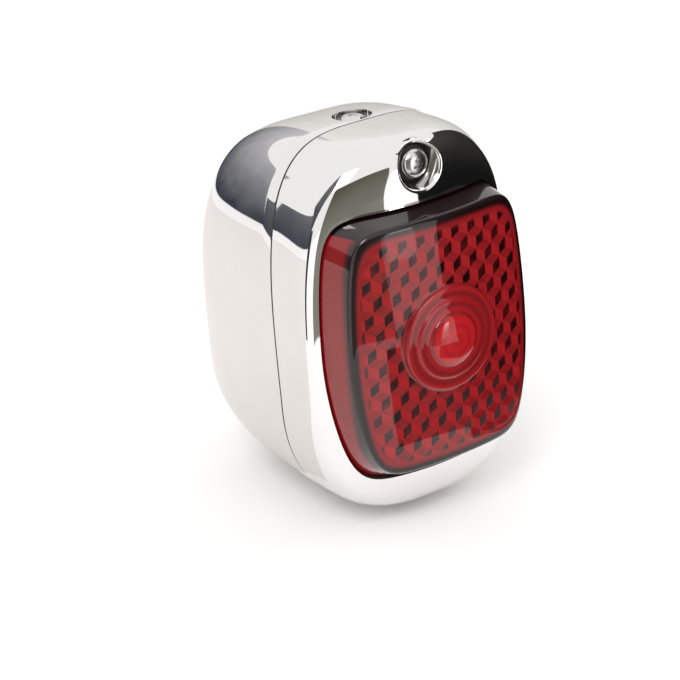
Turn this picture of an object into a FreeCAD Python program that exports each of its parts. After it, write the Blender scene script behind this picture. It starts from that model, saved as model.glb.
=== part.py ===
import FreeCAD, Part
import math
import os
import re
import Sketcher
from FreeCAD import Placement, Rotation, Vector

# Motorcycle tail light: a deep-drawn rear shell, a bezel that hangs on the shell's lip and is held by
# one screw, a tall red lens with a bull's-eye, and a bayonet bulb inside. Millimetres, +Z up, the lens
# faces -Y. The origin is the centre of the two mounting studs, on the back face of the rear shell.

SIZES = {
    # Rear shell: its outline at the joint line is two half superellipses that meet at the widest height.
    "shell_depth": 56.0,
    "sheet_wall": 1.2,
    "half_width": 37.7,
    "crown_height": 69.8,
    "keel_depth": 48.2,
    "widest_drop": 10.0,
    "crown_power": 3.64,
    "keel_power": 2.35,
    "tail_power": 2.43,
    "back_half_width": 25.7,
    "back_top": 33.1,
    "back_bottom": 33.3,
    # Joggled lip that the bezel sits over, and the gasket on the shoulder behind it.
    "shoulder_wall": 1.0,
    "lip_wall": 1.0,
    "lip_length": 4.0,
    "lip_gap": 0.3,
    "seam_gap": 0.8,
    "seal_gap": 0.1,
    # Bezel: its front is curved in plan, and each edge rounds over by its own power.
    "door_depth": 27.0,
    "door_setback": 11.0,
    "door_plan_power": 2.1,
    "side_power": 4.5,
    "brow_power": 5.0,
    "chin_power": 2.4,
    "corner_relief": 1.6,
    "lens_gap": 0.4,
    # Dish in the brow for the bezel screw.
    "dish_height": 61.6,
    "dish_mouth_radius": 7.25,
    "dish_floor_radius": 5.4,
    "dish_sink": 5.4,
    # Lens: tapered outline with bulging sides, a face curved in plan and a stepped bull's-eye.
    "lens_centre": 10.0,
    "lens_half_height": 40.7,
    "lens_top_half": 29.5,
    "lens_middle_half": 33.0,
    "lens_bottom_half": 26.5,
    "lens_corner_power": 9.0,
    "lens_reach": 8.0,
    "lens_face_sag": 4.6,
    "lens_draft": 1.6,
    "lens_chin_draft": 4.0,
    "lens_edge_radius": 1.6,
    "lens_wall": 2.2,
    "flange_width": 1.1,
    "flange_wall": 1.6,
    "lens_gasket_wall": 0.8,
    "eye_height": 11.8,
    "eye_radius": 15.7,
    "eye_middle_radius": 11.9,
    "eye_dome_radius": 8.1,
    "eye_step": 0.9,
    "eye_inner_step": 0.72,
    "eye_dome_rise": 1.9,
    # Straps, weld studs and nuts that clamp the lens from behind.
    "strap_wall": 1.2,
    "strap_width": 4.2,
    "brow_strap_half_length": 23.0,
    "brow_ear_width": 8.0,
    "chin_strap_half_length": 16.0,
    "chin_ear_width": 6.0,
    "strap_stud_radius": 1.5,
    "strap_stud_length": 9.0,
    "strap_nut_radius": 3.2,
    "strap_nut_height": 2.4,
    "strap_nut_gap": 1.0,
    # Hook tab at the bottom of the bezel.
    "hook_half_width": 7.0,
    "hook_wall": 1.2,
    "hook_clearance": 2.1,
    "hook_reach": 6.0,
    "hook_weld_reach": 8.5,
    "hook_weld_rise": 0.9,
    "hook_step_reach": 1.6,
    "hook_step_rise": 0.15,
    "hook_bend_rise": 0.25,
    # Bezel screw and its sealing washer.
    "screw_head_radius": 4.3,
    "screw_head_height": 2.8,
    "screw_shank_radius": 1.65,
    "screw_shank_length": 18.1,
    "recess_half_length": 2.3,
    "recess_half_width": 0.5,
    "recess_depth": 1.7,
    "seal_radius": 4.9,
    "seal_bore": 2.3,
    "seal_wall": 1.0,
    # Bracket and captive nut that take the bezel screw.
    "bracket_wall": 1.5,
    "bracket_half_width": 8.0,
    "bracket_tail": 6.0,
    "bracket_reach": 6.0,
    "bracket_drop": 10.5,
    "captive_nut_half": 4.0,
    "captive_nut_height": 3.0,
    "captive_nut_bore": 2.15,
    # Top screw in a pressed seat, with its toothed washer and nut.
    "top_screw_back": 6.6,
    "seat_drop": 2.9,
    "seat_radius": 5.9,
    "washer_radius": 4.3,
    "washer_wall": 0.6,
    "washer_teeth": 12,
    "top_head_radius": 3.8,
    "top_head_height": 2.3,
    "top_shank_radius": 2.0,
    "top_shank_length": 7.2,
    "top_nut_radius": 4.2,
    "top_nut_height": 2.8,
    # Mounting plate, studs and wire grommet.
    "plate_wall": 2.5,
    "plate_half_width": 22.0,
    "plate_half_height": 9.0,
    "plate_top": 26.0,
    "plate_top_half": 13.0,
    "stud_circle_radius": 17.0,
    "stud_radius": 3.0,
    "stud_length": 16.0,
    "stud_flange_radius": 4.5,
    "stud_flange_wall": 1.0,
    "stud_clearance": 0.2,
    "grommet_groove_radius": 5.5,
    "grommet_radius": 7.5,
    "grommet_bore": 3.0,
    "grommet_flange": 1.5,
    # Bayonet socket: bracket, shell, carrier, contacts and spring.
    "bulb_height": 11.8,
    "web_stand": 20.3,
    "web_half_width": 12.0,
    "web_half_height": 11.0,
    "leg_half_height": 5.8,
    "foot_length": 6.0,
    "socket_sheet": 1.2,
    "rivet_radius": 1.2,
    "rivet_head_radius": 2.2,
    "rivet_head_height": 0.9,
    "socket_outer_radius": 8.5,
    "socket_wall": 0.5,
    "socket_start": 10.0,
    "socket_length": 26.0,
    "socket_bead_radius": 10.0,
    "socket_bead_wall": 0.8,
    "carrier_radius": 7.7,
    "carrier_start": 18.0,
    "carrier_wall": 3.0,
    "contact_offset": 3.0,
    "contact_radius": 1.4,
    "contact_head_radius": 1.9,
    "contact_head_wall": 0.8,
    "contact_tail": 2.5,
    "spring_radius": 5.9,
    "spring_wire_radius": 0.35,
    "spring_turns": 3.5,
    # Bulb: bayonet base, two pins, solder contacts, glass, stem, supports and filaments.
    "base_radius": 7.6,
    "base_wall": 0.4,
    "base_length": 17.2,
    "pin_radius": 1.0,
    "pin_reach": 9.2,
    "pin_rise": 5.7,
    "push_travel": 2.0,
    "turn_angle": 18.0,
    "slot_gap": 0.35,
    "solder_radius": 1.6,
    "solder_rise": 0.8,
    "glass_radius": 13.2,
    "glass_wall": 0.7,
    "glass_centre": 33.9,
    "neck_depth": 4.0,
    "glass_shoulder_angle": 40.0,
    "glass_flare_length": 9.0,
    "glass_flare_pull": 2.4,
    "stem_radius": 2.6,
    "stem_length": 10.0,
    "support_radius": 0.3,
    "support_length": 9.0,
    "support_spread": 4.0,
    "support_root_spread": 0.8,
    "support_root_depth": 0.4,
    "filament_radius": 0.25,
    "filament_split": 2.2,
    "filament_overhang": 0.2,
    "filament_end_gap": 0.6,
    "filament_bow": 1.4,
}

doc = FreeCAD.newDocument("tail_light")
sheet = doc.addObject("Spreadsheet::Sheet", "Sizes")
for row, (alias, number) in enumerate(SIZES.items(), start=1):
    sheet.set(f"A{row}", alias)
    sheet.set(f"B{row}", str(number))
    sheet.setAlias(f"B{row}", alias)
doc.recompute()

FORWARD = Rotation(Vector(1, 0, 0), 90)      # turns a piece's own Z axis to -Y, towards the lens
UPRIGHT = Rotation()
CURVE_POINTS = 96                            # points on each closed outline curve
nodes = []


def size(alias):
    """The value of one named size, read from the sheet."""
    return float(sheet.get(alias))


def bound(text):
    """A formula of size names as an expression on the sheet."""
    return re.sub(r"[a-z]+(_[a-z]+)+", lambda found: "Sizes." + found.group(0), text)


# Sketches, turned pieces and plates ------------------------------------------------------------------

def put(piece, x, y, z, turn):
    """Place a sub-part: the turn is fixed, and its three coordinates follow formulas."""
    piece.Placement = Placement(Vector(), turn)
    for axis, text in zip("xyz", (x, y, z)):
        piece.setExpression(".Placement.Base." + axis, bound(text))
    return piece


def new_body(label):
    body = doc.addObject("PartDesign::Body", label)
    nodes.append(body)
    return body


def new_sketch(body, role):
    """An empty sketch on one of the body's own origin planes."""
    sketch = body.newObject("Sketcher::SketchObject", body.Label + "_sketch")
    plane = next(item for item in body.Origin.OriginFeatures if item.Role == role)
    sketch.AttachmentSupport = (plane, [""])
    sketch.MapMode = "FlatFace"
    return sketch


def hold_point(sketch, element, vertex, across, along):
    """Hold a sketch point at two distances from the sketch's origin."""
    for letter, axis_line, text in (("X", -2, across), ("Y", -1, along)):
        if text == "0":
            rule = Sketcher.Constraint("PointOnObject", element, vertex, axis_line)
            sketch.addConstraint(rule)
        else:
            rule = Sketcher.Constraint("Distance" + letter, -1, 1, element, vertex, 1.0)
            number = sketch.addConstraint(rule)
            sketch.setExpression(f"Constraints[{number}]", bound(text))


def draw_polygon(sketch, corners):
    """A closed outline of straight lines through corners given as pairs of formulas."""
    first = sketch.GeometryCount
    count = len(corners)
    spots = [Vector(math.cos(math.tau * k / count), math.sin(math.tau * k / count), 0) for k in range(count)]
    for k in range(count):
        sketch.addGeometry(Part.LineSegment(spots[k], spots[(k + 1) % count]))
    for k in range(count):
        joint = Sketcher.Constraint("Coincident", first + k, 2, first + (k + 1) % count, 1)
        sketch.addConstraint(joint)
    for k, (across, along) in enumerate(corners):
        hold_point(sketch, first + k, 1, across, along)


def draw_circle(sketch, across, along, radius):
    element = sketch.addGeometry(Part.Circle(Vector(1, 1, 0), Vector(0, 0, 1), 1.0))
    hold_point(sketch, element, 3, across, along)
    number = sketch.addConstraint(Sketcher.Constraint("Radius", element, 1.0))
    sketch.setExpression(f"Constraints[{number}]", bound(radius))


def turned(label, profile):
    """A piece turned about its own Z axis from a profile of (radius, height) corners."""
    body = new_body(label)
    sketch = new_sketch(body, "XZ_Plane")
    draw_polygon(sketch, profile)
    spin = body.newObject("PartDesign::Revolution", label + "_turned")
    spin.Profile = sketch
    spin.ReferenceAxis = (sketch, ["V_Axis"])
    spin.Angle = 360.0
    return body


def plate(label, role, outlines, holes, thickness):
    """A flat piece padded from one or more outlines, with round holes in it."""
    body = new_body(label)
    sketch = new_sketch(body, role)
    for corners in outlines:
        draw_polygon(sketch, corners)
    for across, along, radius in holes:
        draw_circle(sketch, across, along, radius)
    pad = body.newObject("PartDesign::Pad", label + "_pad")
    pad.Profile = sketch
    pad.setExpression("Length", bound(thickness))
    return body


def cross_recess(body, head_top):
    """A cross recess cut down into a screw head from its top face."""
    sketch = new_sketch(body, "XY_Plane")
    sketch.setExpression(".AttachmentOffset.Base.z", bound(head_top))
    long, short = "recess_half_length", "recess_half_width"
    quarter = [(long, short), (short, short), (short, long)]
    corners = []
    for flip_x, flip_y, order in (("", "", 1), ("-", "", -1), ("-", "-", 1), ("", "-", -1)):
        corners += [(flip_x + across, flip_y + along) for across, along in quarter[::order]]
    draw_polygon(sketch, corners)
    pocket = body.newObject("PartDesign::Pocket", body.Label + "_recess")
    pocket.Profile = sketch
    pocket.setExpression("Length", bound("recess_depth"))


def group(label, copies):
    """Identical loose solids kept together as one sub-part."""
    joined = doc.addObject("Part::Compound", label)
    joined.Links = copies
    nodes.append(joined)
    return joined


def copies_of(body, places, turn):
    """One body and its twins at other places, to be grouped."""
    nodes.remove(body)
    members = []
    for number, (x, y, z) in enumerate(places):
        twin = doc.addObject("App::Link", f"{body.Label}_{number}") if number else body
        if number:
            twin.LinkedObject = body
            twin.LinkTransform = False
        members.append(put(twin, x, y, z, turn))
    return members


# Outlines and skins of the drawn shells ---------------------------------------------------------------

def unit_radius(angle, power):
    """Radius of a unit superellipse in the direction of an angle."""
    return (abs(math.cos(angle)) ** power + abs(math.sin(angle)) ** power) ** (-1.0 / power)


def rounded_edge(turn, power):
    """How far out and how far along a rounded edge stands, each from 0 to 1, at a turn from its start."""
    radius = unit_radius(turn, power)
    return radius * math.cos(turn), radius * math.sin(turn)


def angles():
    return [math.tau * k / CURVE_POINTS for k in range(CURVE_POINTS)]


def shell_outline(angle, half_width, top, bottom):
    """A point (x, z) on the housing's outline with the given half width, top and bottom heights."""
    upper = math.sin(angle) >= 0
    radius = unit_radius(angle, size("crown_power") if upper else size("keel_power"))
    widest = -size("widest_drop")
    rise = (top - widest) if upper else (widest - bottom)
    return half_width * radius * math.cos(angle), widest + rise * radius * math.sin(angle)


def seam_outline(angle, inset):
    """A point on the outline at the joint line, moved inwards by an inset."""
    top = size("crown_height") - inset
    bottom = inset - size("keel_depth")
    return shell_outline(angle, size("half_width") - inset, top, bottom)


def lens_outline(angle, grow, chin_grow):
    """A point on the lens outline, grown outwards; its lower half takes its own amount in height."""
    radius = unit_radius(angle, size("lens_corner_power"))
    across = radius * math.cos(angle)
    rise = radius * math.sin(angle)
    end_half = size("lens_top_half") if rise >= 0 else size("lens_bottom_half")
    width = size("lens_middle_half") - (size("lens_middle_half") - end_half) * rise ** 2 + grow
    height = size("lens_half_height") + (grow if rise >= 0 else chin_grow)
    return across * width, size("lens_centre") + rise * height


def door_front(x):
    """How far forward of the back face the bezel's front stands at a distance x from the middle."""
    share = abs(x) / size("half_width")
    return size("shell_depth") + size("door_depth") - size("door_setback") * share ** size("door_plan_power")


def lens_front(x):
    """How far forward of the back face the lens face stands at a distance x from the middle."""
    share = x / size("lens_middle_half")
    return size("shell_depth") + size("door_depth") + size("lens_reach") - size("lens_face_sag") * share ** 2


def closed_curve(points):
    curve = Part.BSplineCurve()
    curve.interpolate([Vector(*point) for point in points], True)
    return Part.Wire(curve.toShape())


def level_ring(outline, y):
    """A closed curve at one depth, from an outline function of an angle."""
    return closed_curve([(x, y, z) for x, z in map(outline, angles())])


def drafted(outline_a, y_a, outline_b, y_b):
    """A solid between two level outlines."""
    return Part.makeLoft([level_ring(outline_a, y_a), level_ring(outline_b, y_b)], True, True)


def between(rings):
    """Ruled surfaces from each closed curve to the next."""
    return [Part.makeRuledSurface(rings[k], rings[k + 1]) for k in range(len(rings) - 1)]


def smooth(rings):
    """One smooth surface through closed curves."""
    return Part.makeLoft(rings, False, False)


def sewn_solid(surfaces):
    """One solid from surfaces that share their edges."""
    skin = Part.makeShell([face for surface in surfaces for face in surface.Faces])
    skin.sewShape()
    solid = Part.makeSolid(skin)
    if solid.Volume < 0:
        solid.reverse()
    return solid


def band(outer, inner, front_gap, back_gap):
    """A thin rim between two outlines that follows the bezel's front, between two depths behind it."""
    def ring(outline, gap):
        return closed_curve([(x, gap - door_front(x), z) for x, z in map(outline, angles())])

    rings = [ring(outer, front_gap), ring(outer, back_gap), ring(inner, back_gap), ring(inner, front_gap)]
    return sewn_solid(between(rings + rings[:1]))


def behind_curve(front, back, reach, low, high):
    """Everything between two plan curves, as wide as reach each way and between two heights."""
    steps = 24
    across = [reach * (2.0 * k / steps - 1.0) for k in range(steps + 1)]
    near = Part.BSplineCurve()
    near.interpolate([Vector(x, -front(x), low) for x in across])
    far = Part.BSplineCurve()
    far.interpolate([Vector(x, -back(x), low) for x in across])
    sides = [Part.makeLine(near.StartPoint, far.StartPoint), Part.makeLine(near.EndPoint, far.EndPoint)]
    wire = Part.Wire(Part.__sortEdges__([near.toShape(), far.toShape()] + sides))
    return Part.Face(wire).extrude(Vector(0, 0, high - low))


def rod(radius, x, z, y_front, y_back):
    """A round bar along Y."""
    return Part.makeCylinder(radius, y_back - y_front, Vector(x, y_front, z), Vector(0, 1, 0))


def shaped(label, shape, place=Placement()):
    """A sub-part whose solid is worked out from the sheet's sizes and then put in its place."""
    piece = doc.addObject("Part::Feature", label)
    piece.Shape = shape
    piece.Placement = place
    nodes.append(piece)
    return piece


# Rear shell --------------------------------------------------------------------------------------------

def tail_rings(inset, y_start, y_back):
    """Closed curves that taper from the joint line's outline to the flat back, round at its back edge."""
    rings = []
    steps = 10
    for k in range(steps + 1):
        swell, along = rounded_edge(0.5 * math.pi * k / steps, size("tail_power"))
        half = size("back_half_width") + (size("half_width") - size("back_half_width")) * swell
        top = size("back_top") + (size("crown_height") - size("back_top")) * swell
        bottom = -size("back_bottom") - (size("keel_depth") - size("back_bottom")) * swell

        def outline(angle):
            return shell_outline(angle, half - inset, top - inset, bottom + inset)

        rings.append(level_ring(outline, y_start + (y_back - y_start) * along))
    return rings


def rear_shell():
    """Deep-drawn steel cup with a joggled lip, a pressed seat for the top screw and holes in its back."""
    wall = size("sheet_wall")
    seam = -size("shell_depth")
    lip_inset = wall + size("lip_gap")
    lip_front = seam - size("lip_length")

    def lip_outer(angle):
        return seam_outline(angle, lip_inset)

    def lip_inner(angle):
        return seam_outline(angle, lip_inset + size("lip_wall"))

    outside = tail_rings(0.0, seam, 0.0)
    inside = tail_rings(wall, seam + size("shoulder_wall"), -wall)
    step = [outside[0], level_ring(lip_outer, seam), level_ring(lip_outer, lip_front),
            level_ring(lip_inner, lip_front), level_ring(lip_inner, seam + size("shoulder_wall")), inside[0]]
    shell = sewn_solid([smooth(outside), Part.Face(outside[-1]), smooth(inside), Part.Face(inside[-1])] + between(step))

    seat_z = size("crown_height") - size("seat_drop")
    seat_y = seam + size("top_screw_back")
    cup = Part.makeCylinder(size("seat_radius") + wall, wall + size("seat_drop") - 0.4 * wall,
                            Vector(0, seat_y, seat_z - wall))
    behind_seam = Part.makeBox(100, -seam, 100, Vector(-50, seam, 0))
    shell = shell.fuse(cup.common(behind_seam))
    shell = shell.cut(Part.makeCylinder(size("seat_radius"), 20.0, Vector(0, seat_y, seat_z)))
    screw_hole = size("top_shank_radius") + size("stud_clearance")
    shell = shell.cut(Part.makeCylinder(screw_hole, 20.0, Vector(0, seat_y, seat_z - 10.0)))
    for side in (-1, 1):
        hole = size("stud_radius") + size("stud_clearance")
        shell = shell.cut(rod(hole, side * size("stud_circle_radius"), 0, -10, 10))
    shell = shell.cut(rod(size("grommet_radius") + size("seal_gap"), 0, 0, -10, 10))
    return shaped("rear_shell", shell)


def rim_gasket():
    """Flat rubber ring on the shell's shoulder, which the bezel's rear edge presses on."""
    seam = -size("shell_depth")
    front = seam - size("seam_gap") + size("seal_gap")

    def ring(inset, y):
        return level_ring(lambda angle: seam_outline(angle, inset), y)

    outer = size("seal_gap")
    inner = size("sheet_wall") + size("lip_gap") - size("seal_gap")
    rings = [ring(outer, front), ring(outer, seam), ring(inner, seam), ring(inner, front)]
    return shaped("rim_gasket", sewn_solid(between(rings + rings[:1])))


# Bezel and what is fixed to it ------------------------------------------------------------------------

def bezel_rings(wall):
    """Closed curves from the bezel's rear edge to the lens opening, for the skin at a wall's depth."""
    rings = []
    steps = 14
    start = size("shell_depth") + size("seam_gap")
    for k in range(steps + 1):
        points = []
        for angle in angles():
            upper = max(math.sin(angle), 0.0)
            lower = max(-math.sin(angle), 0.0)
            power = size("side_power") + (size("brow_power") - size("side_power")) * upper ** 2
            power += (size("chin_power") - size("side_power")) * lower ** 2
            power -= size("corner_relief") * (2 * upper * math.cos(angle)) ** 2
            shrink, along = rounded_edge(0.5 * math.pi * k / steps, power)
            rim_x, rim_z = seam_outline(angle, wall)
            hole_x, hole_z = lens_outline(angle, size("lens_gap"), size("lens_gap"))
            x = hole_x + (rim_x - hole_x) * shrink
            z = hole_z + (rim_z - hole_z) * shrink
            points.append((x, -start - (door_front(x) - wall - start) * along, z))
        rings.append(closed_curve(points))
    return rings


def bezel():
    """Drawn cover that closes the shell's front round the lens, with a dish for its screw."""
    wall = size("sheet_wall")
    outer = bezel_rings(0.0)
    inner = bezel_rings(wall)
    cover = sewn_solid([smooth(outer), smooth(inner)] + between([outer[0], inner[0]]) + between([outer[-1], inner[-1]]))
    front = -door_front(0.0)
    floor = front + size("dish_sink")
    height = size("dish_height")
    mouth = size("dish_mouth_radius")
    bottom = size("dish_floor_radius")
    back = Vector(0, 1, 0)
    slope = (mouth - bottom) / size("dish_sink")
    cup_length = size("dish_sink") + wall - 0.5
    cup_mouth = mouth + wall
    cup = Part.makeCone(cup_mouth, cup_mouth - slope * cup_length, cup_length, Vector(0, front + 0.5, height), back)
    lead = 6.0
    hollow = Part.makeCone(mouth + slope * lead, bottom, size("dish_sink") + lead, Vector(0, front - lead, height), back)
    tunnel_end = level_ring(lambda angle: lens_outline(angle, size("lens_gap"), size("lens_gap")),
                            -size("shell_depth") - size("seam_gap") - 0.5)
    filled = sewn_solid([smooth(outer), Part.Face(outer[0]), Part.Face(tunnel_end)] + between([outer[-1], tunnel_end]))
    cup = cup.common(filled)
    cover = cover.fuse(cup).cut(hollow)
    cover = cover.cut(rod(size("seal_bore"), 0, height, floor - 1, floor + 2 * wall))
    return shaped("bezel", cover.removeSplitter())


def face_ring(edge, hub, share, back):
    """A closed curve on the lens face, at a share of the way from its edge to a round hub."""
    points = []
    for angle in angles():
        x, z = edge(angle)
        hub_x = hub * math.cos(angle)
        hub_z = size("eye_height") + hub * math.sin(angle)
        x += (hub_x - x) * share
        z += (hub_z - z) * share
        points.append((x, back - lens_front(x), z))
    return closed_curve(points)


def round_ring(radius, y):
    """A circle about the bull's-eye's axis."""
    return level_ring(lambda angle: (radius * math.cos(angle), size("eye_height") + radius * math.sin(angle)), y)


def flange_ring(grow, gap):
    """The lens outline grown by an amount, at a depth behind the bezel's front."""
    outline = [lens_outline(angle, grow, grow) for angle in angles()]
    return closed_curve([(x, gap - door_front(x), z) for x, z in outline])


def lens():
    """Moulded red lens: a hollow tray with drafted walls, a flange behind the bezel and a bull's-eye."""
    wall = size("lens_wall")
    shares = (0.0, 0.35, 0.7, 1.0)

    def edge(inset):
        return lambda angle: lens_outline(angle, -size("lens_draft") - inset, -size("lens_chin_draft") - inset)

    flange_front = size("sheet_wall") + size("lens_gasket_wall")
    flange_back = flange_front + size("flange_wall")
    round_off = size("lens_edge_radius")
    corner = [face_ring(edge(round_off * (1 - math.cos(turn))), 0, 0, round_off * (1 - math.sin(turn)))
              for turn in (0, math.pi / 6, math.pi / 3, 0.5 * math.pi)]
    face = [face_ring(edge(round_off), size("eye_radius"), share, 0) for share in shares]
    inner_face = [face_ring(edge(wall), size("eye_radius"), share, wall) for share in shares]
    steps = [flange_ring(0, flange_front), flange_ring(size("flange_width"), flange_front),
             flange_ring(size("flange_width"), flange_back), flange_ring(-wall, flange_back), inner_face[0]]
    rise = -door_front(0) - size("lens_reach")
    step = size("eye_step")
    crown = rise - step - size("eye_inner_step")
    eye = [face[-1], round_ring(size("eye_radius"), rise - step), round_ring(size("eye_middle_radius"), rise - step),
           round_ring(size("eye_middle_radius"), crown), round_ring(size("eye_dome_radius"), crown)]
    dome = [round_ring(size("eye_dome_radius") * max(math.cos(turn), 0.06),
                       crown - size("eye_dome_rise") * math.sin(turn))
            for turn in (0, 0.4, 0.8, 1.2, 0.5 * math.pi)]
    floor = round_ring(1.0, wall - door_front(0) - size("lens_reach"))
    surfaces = [smooth(corner), smooth(face), smooth(dome), Part.Face(dome[-1]), smooth(inner_face), Part.Face(floor)]
    surfaces += between([corner[0]] + steps) + between(eye) + between([inner_face[-1], floor])
    return shaped("lens", sewn_solid(surfaces))


def lens_gasket():
    """Thin rubber rim between the bezel's opening and the lens flange."""
    gap = size("seal_gap")
    front = size("sheet_wall")
    return shaped("lens_gasket", band(
        lambda angle: lens_outline(angle, size("flange_width"), size("flange_width")),
        lambda angle: lens_outline(angle, gap, gap), front, front + size("lens_gasket_wall")))


def strap_stack():
    """Depth behind the bezel's front where the straps start."""
    return size("sheet_wall") + size("lens_gasket_wall") + size("flange_wall")


def strap_places():
    """Where the weld studs stand: two below the lens and two above it."""
    places = []
    for side, strap in ((-1, "chin"), (1, "brow")):
        ear = 0.5 * size(strap + "_ear_width")
        across = size(strap + "_strap_half_length") - ear
        z = size("lens_centre") + side * (size("lens_half_height") + size("flange_width") + ear)
        places += [(-across, z), (across, z)]
    return places


def lens_straps():
    """Two steel straps bent to the bezel's plan curve: a bar on the flange with an ear at each end."""
    start = strap_stack()
    stop = start + size("strap_wall")
    straps = []
    for side, strap in ((-1, "chin"), (1, "brow")):
        reach = size(strap + "_strap_half_length")
        ear = size(strap + "_ear_width")
        edge = size("lens_centre") + side * (size("lens_half_height") + size("flange_width"))
        inner_edge = edge - side * size("strap_width")
        outer_edge = edge + side * ear
        low, high = sorted((inner_edge, outer_edge))
        sheet_metal = behind_curve(lambda x: door_front(x) - start, lambda x: door_front(x) - stop, reach, low, high)
        gap_low, gap_high = sorted((edge, outer_edge + side))
        middle = Part.makeBox(2 * (reach - ear), 60, gap_high - gap_low, Vector(ear - reach, -100, gap_low))
        straps.append(sheet_metal.cut(middle))
    joined = Part.makeCompound(straps)
    for x, z in strap_places():
        joined = joined.cut(rod(size("strap_stud_radius") + size("seal_gap"), x, z, -100, -40))
    return shaped("lens_straps", joined)


def strap_studs():
    """Four threaded studs welded inside the bezel's front."""
    studs = []
    for x, z in strap_places():
        front = size("sheet_wall") - door_front(x)
        studs.append(rod(size("strap_stud_radius"), x, z, front, front + size("strap_stud_length")))
    return shaped("strap_studs", Part.makeCompound(studs))


def hexagon_prism(radius, height, bore, centre):
    """A hexagonal nut along Y, with its rear face further back by its height."""
    corners = [Vector(radius * math.cos(k * math.pi / 3), 0, radius * math.sin(k * math.pi / 3)) for k in range(7)]
    nut = Part.Face(Part.makePolygon(corners)).extrude(Vector(0, height, 0))
    nut = nut.cut(rod(bore, 0, 0, -1, height + 1))
    nut.translate(centre)
    return nut


def strap_nuts():
    """Four nuts that pull the straps onto the lens flange."""
    nuts = []
    for x, z in strap_places():
        y = strap_stack() + size("strap_wall") + size("strap_nut_gap") - door_front(x)
        nuts.append(hexagon_prism(size("strap_nut_radius"), size("strap_nut_height"),
                                  size("strap_stud_radius"), Vector(x, y, z)))
    return shaped("strap_nuts", Part.makeCompound(nuts))


def bezel_hook():
    """Bent tab spot-welded to the bottom of the bezel; it reaches over the shell's lip and hooks on it."""
    wall = "hook_wall"
    floor = "-keel_depth + sheet_wall"
    raised = "-keel_depth + sheet_wall + lip_gap + lip_wall + hook_clearance"
    weld_front = "shell_depth + lip_length + hook_weld_reach"
    step_front = "shell_depth + lip_length + hook_step_reach"
    tip = "shell_depth - hook_reach"
    side = [(weld_front, f"{floor} + hook_weld_rise"), (step_front, f"{floor} + hook_step_rise"),
            (step_front, raised), (tip, raised),
            (tip, raised + " + " + wall), (f"{step_front} + {wall}", f"{raised} + {wall}"),
            (f"{step_front} + {wall}", f"{floor} + hook_bend_rise + {wall}"),
            (weld_front, f"{floor} + hook_weld_rise + {wall}")]
    side = [(f"-({forward})", height) for forward, height in side]
    hook = plate("bezel_hook", "YZ_Plane", [side], [], "2 * hook_half_width")
    return put(hook, "-hook_half_width", "0", "0", UPRIGHT)


# Bezel screw -------------------------------------------------------------------------------------------

HEAD_SEAT = "-(shell_depth + door_depth - dish_sink + seal_wall)"


def pan_screw(label, head_radius, head_height, shank_radius, shank_length):
    """A pan-head screw with a cross recess, its head standing on the XY plane."""
    profile = [("0", f"-{shank_length}"), (f"{shank_radius} * 0.7", f"-{shank_length}"),
               (shank_radius, f"-{shank_length} + {shank_radius} * 0.5"), (shank_radius, "0"), (head_radius, "0"),
               (head_radius, f"{head_height} * 0.55"), (f"{head_radius} * 0.88", f"{head_height} * 0.85"),
               (f"{head_radius} * 0.6", head_height), ("0", head_height)]
    body = turned(label, profile)
    doc.recompute()
    cross_recess(body, head_height)
    return body


def door_screw():
    """Bezel screw; its thread is a plain shank at the root diameter."""
    screw = pan_screw("door_screw", "screw_head_radius", "screw_head_height", "screw_shank_radius",
                      "screw_shank_length")
    return put(screw, "0", HEAD_SEAT, "dish_height", FORWARD)


def screw_seal():
    """Sealing washer between the screw head and the floor of the dish."""
    washer = turned("screw_seal", [("seal_bore", "0"), ("seal_radius", "0"), ("seal_radius", "seal_wall"),
                                   ("seal_bore", "seal_wall")])
    return put(washer, "0", "-(shell_depth + door_depth - dish_sink)", "dish_height", FORWARD)


# Screw bracket, captive nut and top screw ---------------------------------------------------------------

SEAT = "crown_height - seat_drop"
SEAT_Y = "-(shell_depth - top_screw_back)"
TAB_Y = "-(shell_depth + bracket_reach)"


def screw_bracket():
    """Angle bracket under the top screw: a leg under the shell's seat and a tab that hangs in front."""
    top = f"{SEAT} - sheet_wall"
    leg_end = f"{SEAT_Y} + bracket_tail"
    side = [(f"{TAB_Y} - bracket_wall", top), (leg_end, top), (leg_end, f"{top} - bracket_wall"),
            (TAB_Y, f"{top} - bracket_wall"), (TAB_Y, f"{top} - bracket_drop"),
            (f"{TAB_Y} - bracket_wall", f"{top} - bracket_drop")]
    body = plate("screw_bracket", "YZ_Plane", [side], [], "2 * bracket_half_width")
    doc.recompute()
    full = body.Shape.Volume
    for role, across, along, radius in (
            ("XY_Plane", "bracket_half_width", SEAT_Y, "top_shank_radius + seal_gap"),
            ("XZ_Plane", "bracket_half_width", "dish_height", "captive_nut_bore + seal_gap")):
        sketch = new_sketch(body, role)
        draw_circle(sketch, across, along, radius)
        hole = body.newObject("PartDesign::Pocket", "screw_bracket_hole")
        hole.Profile = sketch
        hole.Type = "ThroughAll"
        hole.Midplane = True
        doc.recompute()
        if body.Shape.Volume >= full:
            raise ValueError("a hole in the screw bracket cuts nothing")
        full = body.Shape.Volume
    return put(body, "-bracket_half_width", "0", "0", UPRIGHT)


def captive_nut():
    """Square nut welded to the front of the bracket's tab, for the bezel screw."""
    half = "captive_nut_half"
    square = [(f"-{half}", f"-{half}"), (half, f"-{half}"), (half, half), (f"-{half}", half)]
    nut = plate("captive_nut", "XY_Plane", [square], [("0", "0", "captive_nut_bore")], "captive_nut_height")
    return put(nut, "0", f"{TAB_Y} - bracket_wall", "dish_height", FORWARD)


def top_screw():
    """Screw through the shell's seat that holds the bracket."""
    screw = pan_screw("top_screw", "top_head_radius", "top_head_height", "top_shank_radius", "top_shank_length")
    return put(screw, "0", SEAT_Y, f"{SEAT} + washer_wall", UPRIGHT)


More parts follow.
